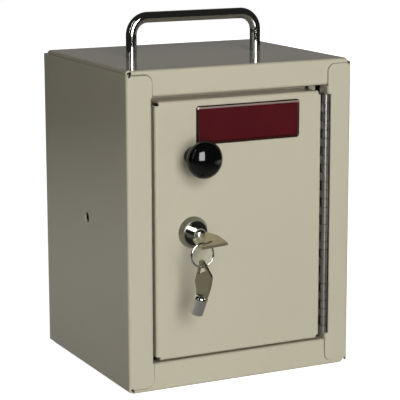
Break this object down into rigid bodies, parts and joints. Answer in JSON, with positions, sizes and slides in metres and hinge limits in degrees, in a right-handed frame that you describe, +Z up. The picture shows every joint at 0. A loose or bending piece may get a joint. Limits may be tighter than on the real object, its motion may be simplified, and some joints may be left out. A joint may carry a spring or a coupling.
{
  "type": "lockable medicine cabinet",
  "caption": "Small lockable medicine cabinet of painted bent sheet steel with a carrying handle, piano hinge, round pull knob, tubular cam lock and keys on a ring.",
  "frame": {"origin": "centre of the cabinet's bottom face", "axes": "+Z up, +Y to the back, +X to the right as seen from the front"},
  "size_m": [0.1778, 0.2005, 0.261],
  "materials": {
    "beige_paint": "semi-gloss powder coat",
    "chrome": "polished",
    "zinc_steel": "bright zinc",
    "hinge_steel": "bright steel",
    "satin_steel": "satin",
    "key_nickel": "nickel plate",
    "brass": "machined",
    "black_plastic": "gloss",
    "maroon_plate": "gloss enamel, bare"
  },
  "bodies": {
    "cabinet": {"side_panel_left": "beige_paint", "side_panel_right": "beige_paint", "back_panel": "beige_paint", "top_panel": "beige_paint", "bottom_panel": "beige_paint", "carry_handle": "chrome", "handle_screws": "zinc_steel", "handle_washers": "zinc_steel", "hinge_frame_leaf": "hinge_steel", "hinge_pin": "hinge_steel"},
    "door": {"hinge_door_leaf": "hinge_steel", "door_panel": "beige_paint", "door_knob": "black_plastic", "knob_insert": "brass", "knob_screw": "zinc_steel", "knob_washer": "zinc_steel", "nameplate": "maroon_plate", "lock_bezel": "satin_steel", "lock_body": "chrome", "lock_washer": "zinc_steel", "lock_nut": "zinc_steel"},
    "plug": {"lock_plug": "brass", "tumbler_pins": "brass", "tumbler_springs": "zinc_steel", "lock_cam": "zinc_steel", "cam_screw": "zinc_steel", "cam_washer": "zinc_steel"},
    "key": {"key_barrel": "chrome", "key_bow": "key_nickel"},
    "ring": {"key_ring": "chrome"},
    "spare_key": {"spare_key_barrel": "chrome", "spare_key_bow": "key_nickel"}
  },
  "joints": [
    {"name": "door_swing", "type": "hinge", "parent": "cabinet", "child": "door", "pos_m": [0.06805, -0.0756, 0.1143], "axis": [0, 0, 1], "range_deg": [0, 150]},
    {"name": "lock_turn", "type": "hinge", "parent": "door", "child": "plug", "pos_m": [-0.0394, -0.0766, 0.1128], "axis": [0, 1, 0], "range_deg": [0, 90]},
    {"name": "key_pull", "type": "slide", "parent": "plug", "child": "key", "axis": [0, -1, 0], "range_m": [0, 0.03]},
    {"name": "ring_swing", "type": "hinge", "parent": "key", "child": "ring", "pos_m": [-0.04823, -0.1091, 0.10959], "axis": [0, 1, 0], "range_deg": [-12, 12]},
    {"name": "spare_key_swing", "type": "hinge", "parent": "ring", "child": "spare_key", "pos_m": [-0.04823, -0.1091, 0.09565], "axis": [1, 0, 0], "range_deg": [-15, 15]}
  ]
}
